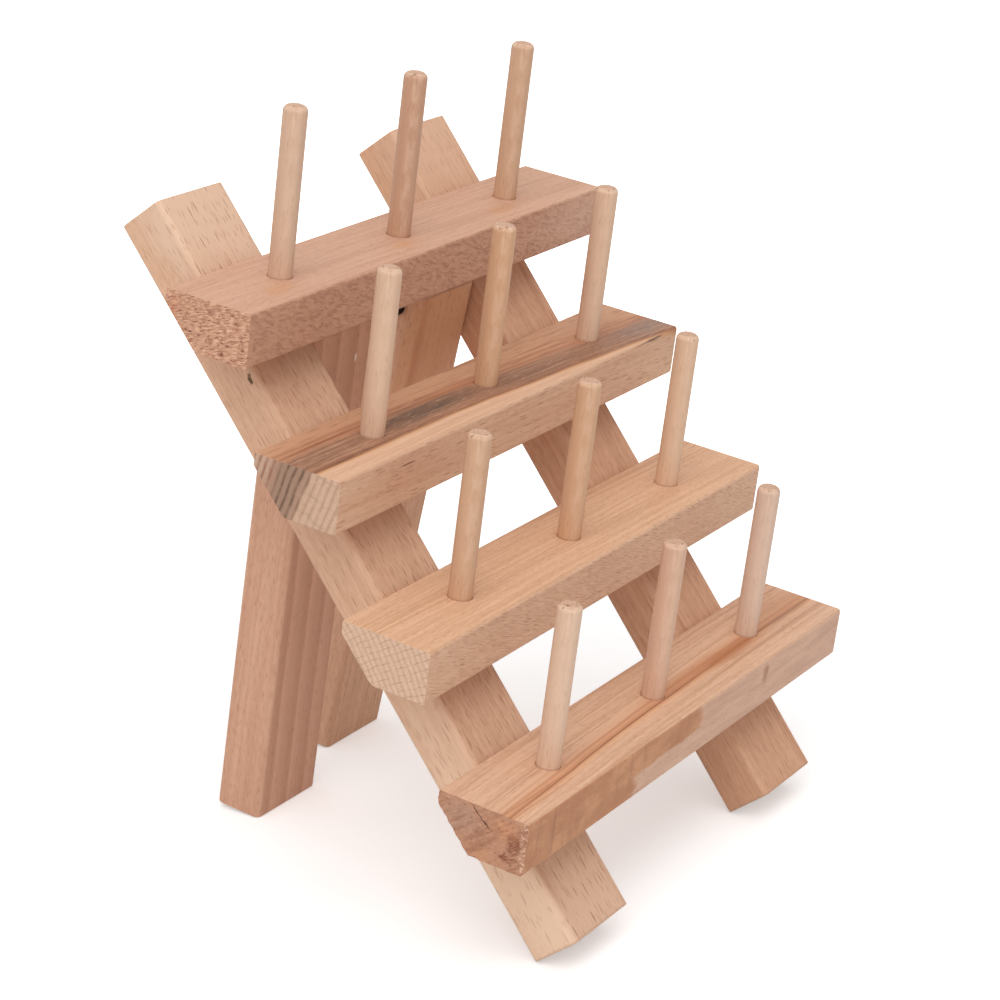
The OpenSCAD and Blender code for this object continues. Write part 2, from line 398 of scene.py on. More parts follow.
def straight_grain():
    """Fibres, fine lines, soft streaks and year rings that run along X."""
    tree, given, out = effect(
        "straight grain",
        {
            "Place": (0.0, 0.0, 0.0),
            "Ring place": 0.0,
            "Pale": tint(225, 190, 162),
            "Deep": tint(200, 158, 130),
            "Streaks": 0.7,
            "Rings": 0.6,
            "Lines": 1.0,
            "Fibres": 0.8,
        },
        {"Colour": "NodeSocketColor", "Height": "NodeSocketFloat"},
    )
    place = given["Place"]
    fibre = speckle(tree, place, (240.0, 1500.0, 1500.0), 3.0, 0.65)
    line = speckle(tree, place, (18.0, 900.0, 900.0), 3.0, 0.6)
    streak = speckle(tree, place, (6.0, 170.0, 170.0), 3.0, 0.55)
    along = add(tree, "ShaderNodeSeparateXYZ", {0: place}).outputs["X"]
    ring_at = add(tree, "ShaderNodeCombineXYZ", {"X": along, "Y": given["Ring place"]}).outputs[0]
    ring = speckle(tree, ring_at, (4.0, 520.0, 1.0), 2.0, 0.6)
    total = None
    for amount, part in (("Streaks", streak), ("Rings", ring), ("Lines", line), ("Fibres", fibre)):
        share = calc(tree, "MULTIPLY", calc(tree, "SUBTRACT", part, 0.5), given[amount])
        total = share if total is None else calc(tree, "ADD", total, share)
    depth = calc(tree, "MULTIPLY_ADD", total, 2.2, 0.5, clamp=True)
    tree.links.new(layer(tree, given["Pale"], given["Deep"], depth), out["Colour"])
    groove = calc(tree, "MULTIPLY", line, 0.4)
    tree.links.new(calc(tree, "SUBTRACT", calc(tree, "MULTIPLY", fibre, 0.7), groove), out["Height"])
    return tree


def short_dashes():
    """The short dark dashes that the rays leave on a long face."""
    tree, given, out = effect(
        "short dashes",
        {"Place": (0.0, 0.0, 0.0), "Stretch": (75.0, 900.0, 900.0), "Share": 0.7, "Reach": 0.22},
        {"Mask": "NodeSocketFloat"},
    )
    wander = speckle(tree, given["Place"], (30.0, 90.0, 90.0), 1.0)
    aside = add(tree, "ShaderNodeCombineXYZ", {"Y": calc(tree, "MULTIPLY", wander, 0.0016)}).outputs[0]
    bent = vector_calc(tree, "ADD", given["Place"], aside)
    cells = cell_points(tree, bent, given["Stretch"])
    inner = calc(tree, "MULTIPLY", given["Reach"], 0.45)
    body = ramp_between(tree, cells["Distance"], inner, given["Reach"], 1.0, 0.0)
    parts = add(tree, "ShaderNodeSeparateColor", {0: cells["Color"]}).outputs
    kept = calc(tree, "LESS_THAN", parts["Red"], given["Share"])
    strength = ramp_between(tree, parts["Green"], 0.0, 1.0, 0.4, 1.0, smooth=False)
    tree.links.new(calc(tree, "MULTIPLY", calc(tree, "MULTIPLY", body, kept), strength), out["Mask"])
    return tree


def sawn_end():
    """Year rings, rays and pores on a cut end."""
    tree, given, out = effect(
        "sawn end",
        {"Place": (0.0, 0.0, 0.0), "Pith": (0.0, 0.06, 0.03), "Ring step": 0.003, "Ray step": 0.0023},
        {part: "NodeSocketFloat" for part in ("Rings", "Rays", "Pores", "Fuzz", "Cloud")},
    )
    place = given["Place"]
    wobble = speckle(tree, place, (0.0, 160.0, 160.0), 2.0)
    apart = vector_calc(tree, "SUBTRACT", place, given["Pith"])
    across = add(tree, "ShaderNodeSeparateXYZ", {0: apart}).outputs
    squares = [calc(tree, "POWER", across[axis], 2.0) for axis in ("Y", "Z")]
    reach = calc(tree, "SQRT", calc(tree, "ADD", squares[0], squares[1]))
    wavy = calc(tree, "MULTIPLY_ADD", wobble, 0.0014, reach)
    turns = calc(tree, "FRACT", calc(tree, "DIVIDE", wavy, given["Ring step"]))
    off_line = calc(tree, "ABSOLUTE", calc(tree, "SUBTRACT", turns, 0.5))
    tree.links.new(ramp_between(tree, off_line, 0.02, 0.3, 1.0, 0.0), out["Rings"])
    angle = calc(tree, "ARCTAN2", across["Z"], across["Y"])
    far = vector_calc(tree, "LENGTH", given["Pith"], (0.0, 0.0, 0.0))
    sweep = calc(tree, "DIVIDE", calc(tree, "MULTIPLY", angle, far), given["Ray step"])
    ray_turn = calc(tree, "FRACT", calc(tree, "MULTIPLY_ADD", wobble, 0.6, sweep))
    off_ray = calc(tree, "ABSOLUTE", calc(tree, "SUBTRACT", ray_turn, 0.5))
    broken = ramp_between(tree, speckle(tree, place, (0.0, 330.0, 330.0), 2.0), 0.34, 0.6)
    ray = calc(tree, "MULTIPLY", ramp_between(tree, off_ray, 0.02, 0.13, 1.0, 0.0), broken)
    tree.links.new(ray, out["Rays"])
    cells = cell_points(tree, place, (300.0, 2300.0, 2300.0))
    kept = ramp_between(tree, speckle(tree, place, (0.0, 600.0, 600.0), 2.0), 0.45, 0.6)
    pore = ramp_between(tree, cells["Distance"], 0.12, 0.42, 1.0, 0.0)
    tree.links.new(calc(tree, "MULTIPLY", pore, kept), out["Pores"])
    fuzz = speckle(tree, place, (200.0, 1300.0, 1300.0), 3.0, 0.6)
    tree.links.new(ramp_between(tree, fuzz, 0.45, 0.75), out["Fuzz"])
    tree.links.new(speckle(tree, place, (0.0, 260.0, 260.0), 4.0, 0.6), out["Cloud"])
    return tree


def uneven_spot():
    """A patch with a ragged rim; Shrink is one over its half sizes."""
    tree, given, out = effect(
        "uneven spot",
        {
            "Place": (0.0, 0.0, 0.0),
            "Middle": (0.0, 0.0, 0.0),
            "Shrink": (100.0, 100.0, 100.0),
            "Ragged": 0.4,
            "Soft": 0.4,
        },
        {"Mask": "NodeSocketFloat"},
    )
    apart = vector_calc(tree, "SUBTRACT", given["Place"], given["Middle"])
    scaled = vector_calc(tree, "MULTIPLY", apart, given["Shrink"])
    reach = vector_calc(tree, "LENGTH", scaled, (0.0, 0.0, 0.0))
    seed = vector_calc(tree, "MULTIPLY", given["Middle"], (977.0, 613.0, 389.0))
    torn = speckle(tree, vector_calc(tree, "ADD", scaled, seed), (2.1, 2.1, 2.1), 4.0, 0.6)
    twice = calc(tree, "MULTIPLY", given["Ragged"], 2.0)
    shift = calc(tree, "MULTIPLY", calc(tree, "SUBTRACT", torn, 0.5), twice)
    inner = calc(tree, "SUBTRACT", 1.0, given["Soft"])
    tree.links.new(ramp_between(tree, calc(tree, "ADD", reach, shift), inner, 1.0, 1.0, 0.0), out["Mask"])
    return tree


def worn_and_highlit_edge():
    """Where the surface turns from one flat face to the next, broken up a little: partly edge wear, partly a
    painted highlight.
    """
    tree, given, out = effect(
        "worn and highlit edge",
        {"Place": (0.0, 0.0, 0.0), "Along": 0.0, "Across": 0.0, "Up": 0.0, "Slant": 0.0},
        {"Mask": "NodeSocketFloat"},
    )
    flat = None
    for name in ("Along", "Across", "Up", "Slant"):
        part = calc(tree, "ABSOLUTE", given[name])
        flat = part if flat is None else calc(tree, "MAXIMUM", flat, part)
    turned = ramp_between(tree, flat, 0.99, 0.86, 0.0, 1.0)
    torn = ramp_between(tree, speckle(tree, given["Place"], (160.0, 420.0, 420.0), 4.0, 0.65), 0.36, 0.62)
    tree.links.new(calc(tree, "MULTIPLY", turned, torn), out["Mask"])
    return tree


def ring_length():
    """How far along the year rings a place lies, with a slow sway; Bow bends the rings along X."""
    tree, given, out = effect(
        "ring length",
        {"Place": (0.0, 0.0, 0.0), "Run": (0.0, 1.0, 0.4), "Bow": 0.0},
        {"Length": "NodeSocketFloat"},
    )
    straight = vector_calc(tree, "DOT_PRODUCT", given["Place"], given["Run"])
    along = add(tree, "ShaderNodeSeparateXYZ", {0: given["Place"]}).outputs["X"]
    bowed = calc(tree, "MULTIPLY_ADD", calc(tree, "POWER", along, 2.0), given["Bow"], straight)
    sway = speckle(tree, given["Place"], (9.0, 40.0, 40.0), 2.0)
    aside = calc(tree, "SUBTRACT", sway, 0.5)
    tree.links.new(calc(tree, "MULTIPLY_ADD", aside, 0.004, bowed), out["Length"])
    return tree


def ring_lines():
    """Thin lines that follow the year rings along a piece."""
    tree, given, out = effect(
        "ring lines",
        {"Along": 0.0, "Ring place": 0.0, "Stretch": (10.0, 500.0, 1.0), "Low": 0.55, "High": 0.7},
        {"Mask": "NodeSocketFloat"},
    )
    at = add(tree, "ShaderNodeCombineXYZ", {"X": given["Along"], "Y": given["Ring place"]}).outputs[0]
    line = speckle(tree, at, given["Stretch"], 2.0, 0.55)
    tree.links.new(ramp_between(tree, line, given["Low"], given["High"]), out["Mask"])
    return tree


def loose_flecks():
    """The part of a noise between two levels; with Low over High its other half."""
    tree, given, out = effect(
        "loose flecks",
        {"Place": (0.0, 0.0, 0.0), "Stretch": (100.0, 500.0, 500.0), "Low": 0.5, "High": 0.65},
        {"Mask": "NodeSocketFloat"},
    )
    cloud = speckle(tree, given["Place"], given["Stretch"], 4.0, 0.65)
    tree.links.new(ramp_between(tree, cloud, given["Low"], given["High"]), out["Mask"])
    return tree


def uneven_length():
    """A length with an uneven amount added."""
    tree, given, out = effect(
        "uneven length",
        {"Place": (0.0, 0.0, 0.0), "Length": 0.0, "Stretch": (30.0, 300.0, 300.0), "Amount": 0.001},
        {"Length": "NodeSocketFloat"},
    )
    off = calc(tree, "SUBTRACT", speckle(tree, given["Place"], given["Stretch"], 4.0, 0.6), 0.5)
    tree.links.new(calc(tree, "MULTIPLY_ADD", off, given["Amount"], given["Length"]), out["Length"])
    return tree


def stained_steel():
    """Staining and fine turning marks on a screw."""
    tree, given, out = effect(
        "stained steel", {"Place": (0.0, 0.0, 0.0)}, {"Stain": "NodeSocketFloat", "Marks": "NodeSocketFloat"}
    )
    tree.links.new(speckle(tree, given["Place"], (260.0, 260.0, 260.0), 4.0, 0.6), out["Stain"])
    tree.links.new(speckle(tree, given["Place"], (2600.0, 2600.0, 2600.0), 2.0), out["Marks"])
    return tree


GRAIN = straight_grain()
DASHES = short_dashes()
END = sawn_end()
SPOT = uneven_spot()
EDGE_WEAR_AND_HIGHLIGHT = worn_and_highlit_edge()
RING_LENGTH = ring_length()
RING_LINES = ring_lines()
FLECKS = loose_flecks()
UNEVEN = uneven_length()
STEEL = stained_steel()


class Wood:
    """One piece's wood: its colour is built up in layers on the piece's own frame."""

    def __init__(self, name, own_frame, ring_run=(0.0, 1.0, 0.4), bow=0.0, attribute=None):
        self.material = bpy.data.materials.new(name)
        self.tree = cleared(self.material)
        coords = add(self.tree, "ShaderNodeTexCoord").outputs
        if attribute:
            self.place = add(self.tree, "ShaderNodeAttribute", attribute_name=attribute).outputs["Vector"]
        else:
            turned = {"Location": own_frame.to_translation(), "Rotation": own_frame.to_euler("XYZ")}
            given = {"Vector": coords["Object"], **turned}
            self.place = add(self.tree, "ShaderNodeMapping", given, vector_type="TEXTURE").outputs[0]
        axes = own_frame.to_3x3()
        normal = coords["Normal"]
        self.facing = [vector_calc(self.tree, "DOT_PRODUCT", normal, axes.col[i]) for i in range(3)]
        bevel = math.radians(SHELF_BEVEL)
        slant = axes @ Vector((0, math.cos(bevel), -math.sin(bevel)))
        self.slant = vector_calc(self.tree, "DOT_PRODUCT", normal, slant)
        self.end = ramp_between(self.tree, calc(self.tree, "ABSOLUTE", self.facing[0]), 0.55, 0.85)
        self.parts = add(self.tree, "ShaderNodeSeparateXYZ", {0: self.place}).outputs
        rings = {"Place": self.place, "Run": ring_run, "Bow": bow}
        self.ring_place = apply_effect(self.tree, RING_LENGTH, rings)["Length"]
        self.colour = None
        self.height = None

    def toward(self, axis, sign):
        """Mask of the faces that look along one axis of the piece."""
        return ramp_between(self.tree, calc(self.tree, "MULTIPLY", self.facing[axis], sign), 0.6, 0.85)

    def both(self, first, *others):
        """Where all of these masks hold; a plain number weakens them."""
        for other in others:
            first = calc(self.tree, "MULTIPLY", first, other)
        return first

    def uneven(self, stretch, low, high, weakest, detail=2.0, roughness=0.5):
        """A noise that lies between weakest and 1, to break up a mask."""
        cloud = speckle(self.tree, self.place, stretch, detail, roughness)
        return ramp_between(self.tree, cloud, low, high, weakest, 1.0)

    def across(self, direction):
        """How far the place lies along a direction of the piece."""
        return vector_calc(self.tree, "DOT_PRODUCT", self.place, direction)

    def grain(self, pale, deep, streaks=0.7, rings=0.6, lines=1.0, fibres=0.8):
        given = {"Place": self.place, "Ring place": self.ring_place, "Pale": pale, "Deep": deep}
        amounts = {"Streaks": streaks, "Rings": rings, "Lines": lines, "Fibres": fibres}
        made = apply_effect(self.tree, GRAIN, {**given, **amounts})
        self.colour = made["Colour"]
        self.height = made["Height"]

    def between(self, value, low, high):
        """Mask that rises while a length goes from low to high millimetres."""
        return ramp_between(self.tree, value, low * MM, high * MM)

    def wavered(self, value, stretch, amount):
        """A length with an uneven amount of up to so many millimetres added."""
        given = {"Place": self.place, "Length": value, "Stretch": stretch, "Amount": amount * MM}
        return apply_effect(self.tree, UNEVEN, given)["Length"]

    def tilted(self, along_x=0.0, along_y=0.0):
        """The place lifted in Z along X or Y, so that marks on it run downhill."""
        lift = self.across((along_x, along_y, 0.0))
        lifted = add(self.tree, "ShaderNodeCombineXYZ", {"Z": lift}).outputs[0]
        return vector_calc(self.tree, "ADD", self.place, lifted)

    def mottle(self, place, stretch, low, high):
        given = {"Place": place, "Stretch": stretch, "Low": low, "High": high}
        return apply_effect(self.tree, FLECKS, given)["Mask"]

    def flecks(self, colour, place, stretch, low, high, amount, where, depth=0.0):
        """Paints the spots of a noise; with low over high the other half of it is taken."""
        self.mark(colour, self.mottle(place, stretch, low, high), amount, where, depth)

    def strip(self, value, stops):
        """Colours laid across a length; the stops are in millimetres."""
        low, high = stops[0][0], stops[-1][0]
        at = ramp_between(self.tree, value, low * MM, high * MM, smooth=False)
        return bands(self.tree, at, [((stop - low) / (high - low), colour) for stop, colour in stops])

    def paint(self, colour, mask):
        self.colour = layer(self.tree, self.colour, colour, mask)

    def mark(self, colour, mask, amount, where=None, depth=0.0):
        """Paints a mask so strongly, only where asked, and sinks it into the surface."""
        if where is not None:
            mask = self.both(mask, where)
        self.paint(colour, self.both(mask, amount))
        if depth:
            self.cut(mask, depth)

    def cut(self, mask, depth):
        self.height = calc(self.tree, "SUBTRACT", self.height, calc(self.tree, "MULTIPLY", mask, depth))

    def dashes(self, colour, stretch, share, reach, amount, where=None, depth=0.5, place=None):
        """Paints dashes, one in each stretched cell; share of them are kept and reach sets their size."""
        given = {"Place": place or self.place, "Stretch": stretch, "Share": share, "Reach": reach}
        self.mark(colour, apply_effect(self.tree, DASHES, given)["Mask"], amount, where, depth)

    def spot(self, middle, half, colour, amount, ragged=0.4, soft=0.9, where=None, depth=0.0):
        """Paints a patch; its middle and half sizes are in millimetres on the piece."""
        given = {"Place": self.place, "Middle": Vector(middle) * MM, "Shrink": [1 / (h * MM) for h in half]}
        mask = apply_effect(self.tree, SPOT, {**given, "Ragged": ragged, "Soft": soft})["Mask"]
        self.mark(colour, mask, amount, where, depth)

    def lines(self, colour, spread, low, high, amount, where=None):
        """Thin lines that follow the year rings along the piece."""
        place = {"Along": self.parts["X"], "Ring place": self.ring_place}
        given = {**place, "Stretch": spread, "Low": low, "High": high}
        self.mark(colour, apply_effect(self.tree, RING_LINES, given)["Mask"], amount, where)

    def sawn(self, line, pith, ring_step, ray_step, lines, rays, pores, woods=None, over=None):
        """Paints the cut ends with a cloud of two woods, or with one colour over all, under the lines."""
        steps = {"Ring step": ring_step * MM, "Ray step": ray_step * MM}
        made = apply_effect(self.tree, END, {"Place": self.place, "Pith": Vector((0, *pith)) * MM, **steps})
        face = over or layer(self.tree, *woods, made["Cloud"])
        for part, amount in (("Rings", lines), ("Rays", rays), ("Pores", pores), ("Fuzz", 0.3)):
            face = layer(self.tree, face, line, self.both(made[part], amount))
        self.paint(face, self.end)
        self.cut(self.both(made["Pores"], self.end), 1.5 * pores)

    # Paints the rounded edges paler: partly wear, partly a painted highlight
    def edges(self, colour, amount):
        along, across, up = self.facing
        given = {"Place": self.place, "Along": along, "Across": across, "Up": up, "Slant": self.slant}
        self.mark(colour, apply_effect(self.tree, EDGE_WEAR_AND_HIGHLIGHT, given)["Mask"], amount)

    def finish(self, relief=0.3, dull=0.6):
        """Dulls the hollows and raises the relief."""
        rough = ramp_between(self.tree, self.height, -0.5, 1.0, dull + 0.1, dull - 0.06, smooth=False)
        given = {
            "Base Color": self.colour,
            "Roughness": rough,
            "Normal": raised(self.tree, self.height, relief, 0.4),
            "Specular IOR Level": 0.3,
        }
        surface(self.tree, add(self.tree, "ShaderNodeBsdfPrincipled", given))
        return self.material


def rail_wood(side):
    wood = Wood("rail beech " + side, rail_frame(side), ring_run=(0.004, 0.5, 0.8))
    if side == "left":
        wood.grain(tint(226, 184, 153), tint(206, 160, 130), streaks=0.45, rings=0.4, lines=0.55)
        # Painted light: the rail is painted paler above the top shelf and at its foot below the bottom shelf,
        # where no shelf shades it, and on the lower part of its outer side
        wood.spot((262, 0, -9), (34, 60, 16), tint(229, 196, 170), 0.75, soft=0.7)
        wood.spot((0, 0, -9), (40, 60, 16), tint(226, 188, 160), 0.6)
        wood.spot((15, RAIL_LEFT, 0), (120, 4, 20), tint(241, 206, 177), 0.85, soft=0.8)
    else:
        wood.grain(tint(223, 175, 142), tint(203, 152, 120), streaks=0.55, rings=0.5, lines=0.6)
        # Painted light: the rail is painted paler above the top shelf, where no shelf shades it
        wood.spot((262, 0, -9), (34, 60, 16), tint(222, 184, 156), 0.6, soft=0.7)
        wood.lines(tint(182, 118, 84), (7.0, 300.0, 1.0), 0.58, 0.76, 0.4)
    seen = 0.85 if side == "left" else 0.6
    broad = ramp_between(wood.tree, calc(wood.tree, "ABSOLUTE", wood.facing[2]), 0.5, 0.9, 0.55 * seen, seen)
    wood.dashes(tint(154, 102, 76), (105.0, 1050.0, 1050.0), 0.62, 0.33, broad)
    wood.dashes(tint(174, 122, 94), (180.0, 1450.0, 1450.0), 0.65, 0.33, broad)
    wood.lines(tint(190, 140, 110), (9.0, 520.0, 1.0), 0.6, 0.78, 0.3)
    if side == "left":
        knot = tint(92, 66, 38)
        wood.spot((204.4, RAIL_LEFT, -6.4), (1.6, 1.6, 1.0), knot, 0.95, ragged=0.7, soft=0.35, depth=0.8)
        wood.spot((206.0, RAIL_LEFT, -6.9), (0.9, 1.4, 0.8), tint(108, 80, 50), 0.9, ragged=0.7, soft=0.4)
        wood.spot((22, -14.5, -9.2), (16, 2.6, 1.6), tint(196, 146, 112), 0.5, ragged=0.5)
    wood.sawn(
        tint(160, 118, 92),
        pith=(60, 60),
        ring_step=2.8,
        ray_step=2.2,
        lines=0.35,
        rays=0.2,
        pores=0.4,
        woods=(tint(222, 186, 158), tint(202, 160, 132)),
    )
    wood.edges(tint(232, 198, 171), 0.28)
    wood.spot((0, 0, 0), (1.2, 60, 60), tint(176, 136, 110), 0.35, ragged=0.8, soft=0.5)
    return wood.finish()


def leg_wood(side):
    wood = Wood("leg beech " + side, leg_frame(side), ring_run=(0.003, 1.0, 0.3))
    front = wood.toward(2, -1)
    if side == "left":
        wood.grain(tint(222, 175, 146), tint(201, 151, 123), streaks=0.5, lines=0.6)
        wood.spot((0, 0, -9), (60, 40, 12), tint(215, 156, 117), 0.65, soft=0.7)
        turn_at = calc(wood.tree, "FRACT", calc(wood.tree, "MULTIPLY_ADD", wood.ring_place, 96.0, 0.3))
        shades = [(0.0, 0.0), (0.72, 1.0), (0.84, 0.9), (0.94, 0.0)]
        stripe = bands(wood.tree, turn_at, [(at, (shade, shade, shade, 1)) for at, shade in shades])
        shown = ramp_between(wood.tree, front, 0.0, 1.0, 0.1, 0.55)
        wood.paint(tint(236, 190, 162), wood.both(front, 0.5))
        wood.paint(tint(190, 137, 110), wood.both(stripe, shown))
    else:
        wood.grain(tint(240, 196, 163), tint(216, 168, 136), streaks=0.5, lines=0.6)
        wood.spot((-10, -6, -9), (70, 40, 10), tint(222, 163, 120), 0.75, soft=0.8)
        # Painted shade: a darker band along the front-left edge of the leg's upper part, where the edge turns
        # away from the light
        wood.spot((-20, -13, -9), (60, 4, 8), tint(200, 132, 92), 0.5, soft=0.8)
        wood.lines(tint(186, 124, 90), (8.0, 330.0, 1.0), 0.58, 0.74, 0.45)
    wood.dashes(tint(172, 115, 88), (190.0, 1250.0, 1150.0), 0.7, 0.33, 0.55)
    wood.dashes(tint(190, 136, 108), (330.0, 1800.0, 1500.0), 0.7, 0.34, 0.5)
    if side == "left":
        wood.spot((-7.3, 8.4, -8.95), (1.9, 0.8, 0.8), tint(255, 236, 214), 1.0, ragged=0.3, soft=0.5)
    wood.sawn(
        tint(150, 106, 82),
        pith=(-40, 70),
        ring_step=2.8,
        ray_step=2.4,
        lines=0.35,
        rays=0.2,
        pores=0.4,
        woods=(tint(214, 172, 144), tint(192, 146, 118)),
    )
    wood.edges(tint(230, 192, 164), 0.35)
    return wood.finish()


def shelf_top_wood():
    """Pinkish and smooth above; the front is rough from the tool and the left end is torn."""
    wood = Wood("shelf beech top", shelf_frame("top"), ring_run=(0.06, 1.0, 0.2))
    front = wood.toward(1, -1)
    wood.grain(tint(212, 168, 142), tint(195, 149, 122), rings=0.4)
    for middle in (-80, -8, 54):
        wood.spot((middle, -23.5, 0), (12, 4.5, 3), tint(205, 149, 110), 0.6, soft=1.0)
    wood.paint(tint(196, 143, 115), wood.both(front, 0.8))
    curly = wood.tilted(0.3)
    wood.flecks(tint(150, 97, 73), curly, (300.0, 300.0, 900.0), 0.5, 0.66, 0.3, front, 2.2)
    wood.flecks(tint(220, 172, 144), curly, (300.0, 300.0, 900.0), 0.46, 0.34, 0.3, front)
    wood.dashes(tint(142, 90, 66), (190.0, 500.0, 900.0), 0.5, 0.36, 0.4, front, 1.5, wood.tilted(-0.8))
    wood.spot((100, SHELF_FRONT, -8), (60, 6, 16), tint(222, 180, 154), 0.6)
    wood.dashes(tint(172, 120, 94), (220.0, 1500.0, 1200.0), 0.6, 0.34, 0.45)
    torn_at = wood.tilted(0.0, 0.25)
    wood.sawn(
        tint(150, 96, 70),
        pith=(90, -40),
        ring_step=3.0,
        ray_step=2.4,
        lines=0.1,
        rays=0.05,
        pores=0.4,
        woods=(tint(222, 172, 142), tint(202, 149, 119)),
    )
    wood.flecks(tint(158, 96, 70), torn_at, (0.0, 420.0, 1500.0), 0.49, 0.63, 0.65, wood.end, 1.5)
    wood.flecks(tint(244, 202, 172), torn_at, (0.0, 420.0, 1500.0), 0.47, 0.36, 0.55, wood.end)
    wood.dashes(tint(112, 52, 35), (60.0, 330.0, 780.0), 0.5, 0.4, 0.95, wood.end, 2.5, torn_at)
    wood.dashes(tint(126, 64, 45), (60.0, 560.0, 1300.0), 0.55, 0.4, 0.9, wood.end, 2.0, torn_at)
    wood.spot((-106.4, -3, -8), (3, 2.5, 9), tint(196, 116, 78), 0.45, ragged=0.7, where=wood.end)
    wood.edges(tint(224, 180, 154), 0.3)
    return wood.finish(relief=0.45)


def heart_end(wood, ring, core):
    """Sawn ends with the heart stripe in them and dark late wood in each year ring."""
    sawn = wood.strip(
        ring,
        [
            (-30.0, tint(210, 173, 147)),
            (-24.8, tint(205, 168, 142)),
            (-23.4, tint(177, 140, 117)),
            (-20.5, tint(164, 130, 108)),
            (-14.5, tint(162, 129, 108)),
            (-11.5, tint(178, 137, 114)),
            (-8.5, tint(196, 160, 136)),
            (2.0, tint(200, 166, 142)),
        ],
    )
    wood.sawn(
        tint(150, 120, 100),
        pith=(171.6, 63.6),
        ring_step=2.7,
        ray_step=6.4,
        lines=0.0,
        rays=0.22,
        pores=0.35,
        over=sawn,
    )
    ring_step = 2.65
    ring_start = 0.575
    counted = calc(wood.tree, "MULTIPLY_ADD", wood.ring_place, 1 / (ring_step * MM), ring_start)
    turns = calc(wood.tree, "FRACT", counted)
    off_line = calc(wood.tree, "ABSOLUTE", calc(wood.tree, "SUBTRACT", turns, 0.5))
    late = wood.both(ramp_between(wood.tree, off_line, 0.0, 0.36, 1.0, 0.0), wood.end)
    late = wood.both(late, wood.uneven((0.0, 260.0, 260.0), 0.3, 0.6, 0.55))
    wood.paint(tint(168, 131, 106), wood.both(late, 0.6))
    wood.paint(tint(96, 70, 54), wood.both(late, core, wood.between(ring, -25.4, -22.4), 0.85))
    wood.paint(tint(138, 82, 66), wood.both(late, wood.between(ring, -14.0, -11.0), 0.65))


def shelf_upper_wood():
    """A dark heart stripe runs along the top and shows again on the left end."""
    wood = Wood("shelf beech upper", shelf_frame("upper"), ring_run=(0.045, 1.0, 0.31), bow=0.2)
    front = wood.toward(1, -1)
    ring = wood.wavered(wood.ring_place, (30.0, 300.0, 300.0), 1.6)
    wood.grain(tint(224, 183, 151), tint(207, 162, 132))
    across = [
        (-30.0, tint(220, 178, 146)),
        (-27.0, tint(219, 175, 142)),
        (-26.3, tint(208, 156, 116)),
        (-25.5, tint(166, 112, 78)),
        (-24.8, tint(142, 96, 71)),
        (-23.6, tint(166, 119, 91)),
        (-20.0, tint(160, 117, 92)),
        (-15.5, tint(164, 120, 95)),
        (-13.4, tint(186, 135, 103)),
        (-12.2, tint(172, 118, 90)),
        (-11.0, tint(196, 145, 111)),
        (-9.6, tint(178, 124, 95)),
        (-8.4, tint(199, 149, 116)),
        (2.0, tint(204, 157, 125)),
    ]
    heart = wood.between(ring, -25.9, -25.0)
    core = wood.both(heart, wood.between(ring, -12.0, -15.0))
    wood.paint(wood.strip(ring, across), wood.between(ring, -27.6, -26.2))
    broken = wood.uneven((26.0, 620.0, 620.0), 0.32, 0.62, 0.5, 3.0, 0.6)
    wood.spot((-36, -15.4, 0), (42, 7.8, 12), tint(88, 72, 60), 0.85, where=broken)
    wood.spot((-92, -15.5, 0), (26, 7, 12), tint(138, 100, 80), 0.4, where=broken)
    wood.spot((-90, -22.8, 0), (34, 1.0, 4), tint(104, 64, 42), 0.8)
    wood.spot((18, -19.5, 0), (32, 5.5, 12), tint(130, 94, 74), 0.55, where=broken)
    wood.spot((98, -25.0, 0), (27, 8, 12), tint(150, 128, 117), 0.8, soft=0.8, where=broken)
    wood.spot((72, -16.5, 0), (16, 1.3, 6), tint(184, 112, 86), 0.6)
    wood.flecks(tint(106, 76, 58), wood.place, (170.0, 1500.0, 1500.0), 0.5, 0.64, 0.35, core, 0.4)
    wood.flecks(tint(212, 168, 136), wood.place, (150.0, 1300.0, 1300.0), 0.46, 0.34, 0.4, core)
    wood.lines(tint(98, 69, 53), (12.0, 950.0, 1.0), 0.5, 0.66, 0.35, core)
    wood.lines(tint(206, 164, 134), (16.0, 1250.0, 1.0), 0.55, 0.7, 0.5, core)
    behind = wood.both(wood.toward(2, 1), wood.between(ring, -14.0, -11.5))
    wood.lines(tint(154, 98, 70), (9.0, 560.0, 1.0), 0.54, 0.7, 0.6, behind)
    wood.flecks(tint(152, 100, 74), wood.place, (60.0, 700.0, 700.0), 0.5, 0.66, 0.4, behind, 0.3)
    wood.flecks(tint(216, 166, 130), wood.place, (70.0, 900.0, 900.0), 0.46, 0.34, 0.45, behind)
    wood.spot((-88, -9.2, 0), (34, 1.2, 4), tint(142, 88, 60), 0.6)
    wood.spot((-14, -11.4, 0), (34, 1.6, 4), tint(176, 112, 76), 0.5)
    wood.spot((-70, SHELF_FRONT, -9), (55, 6, 12), tint(206, 150, 119), 0.5, where=front)
    wood.spot((35, SHELF_FRONT, -10), (40, 6, 9), tint(206, 152, 122), 0.45, where=front)
    run = wood.tilted(0.07)
    wood.dashes(tint(162, 106, 80), (100.0, 1000.0, 1050.0), 0.65, 0.34, 0.75, front, 0.5, run)
    wood.dashes(tint(182, 128, 100), (170.0, 1400.0, 1500.0), 0.7, 0.34, 0.55, front, 0.4, run)
    nicks = (
        ((-70.3, SHELF_FRONT, -4.4), (5.0, 0.8, 0.4), tint(120, 76, 56)),
        ((90, SHELF_FRONT, -0.7), (9.0, 0.8, 0.5), tint(98, 70, 56)),
    )
    for middle, half, tone in nicks:
        wood.spot(middle, half, tone, 0.85, ragged=0.6, soft=0.5, depth=0.8)
    heart_end(wood, ring, core)
    wood.edges(tint(226, 186, 156), 0.3)
    return wood.finish()


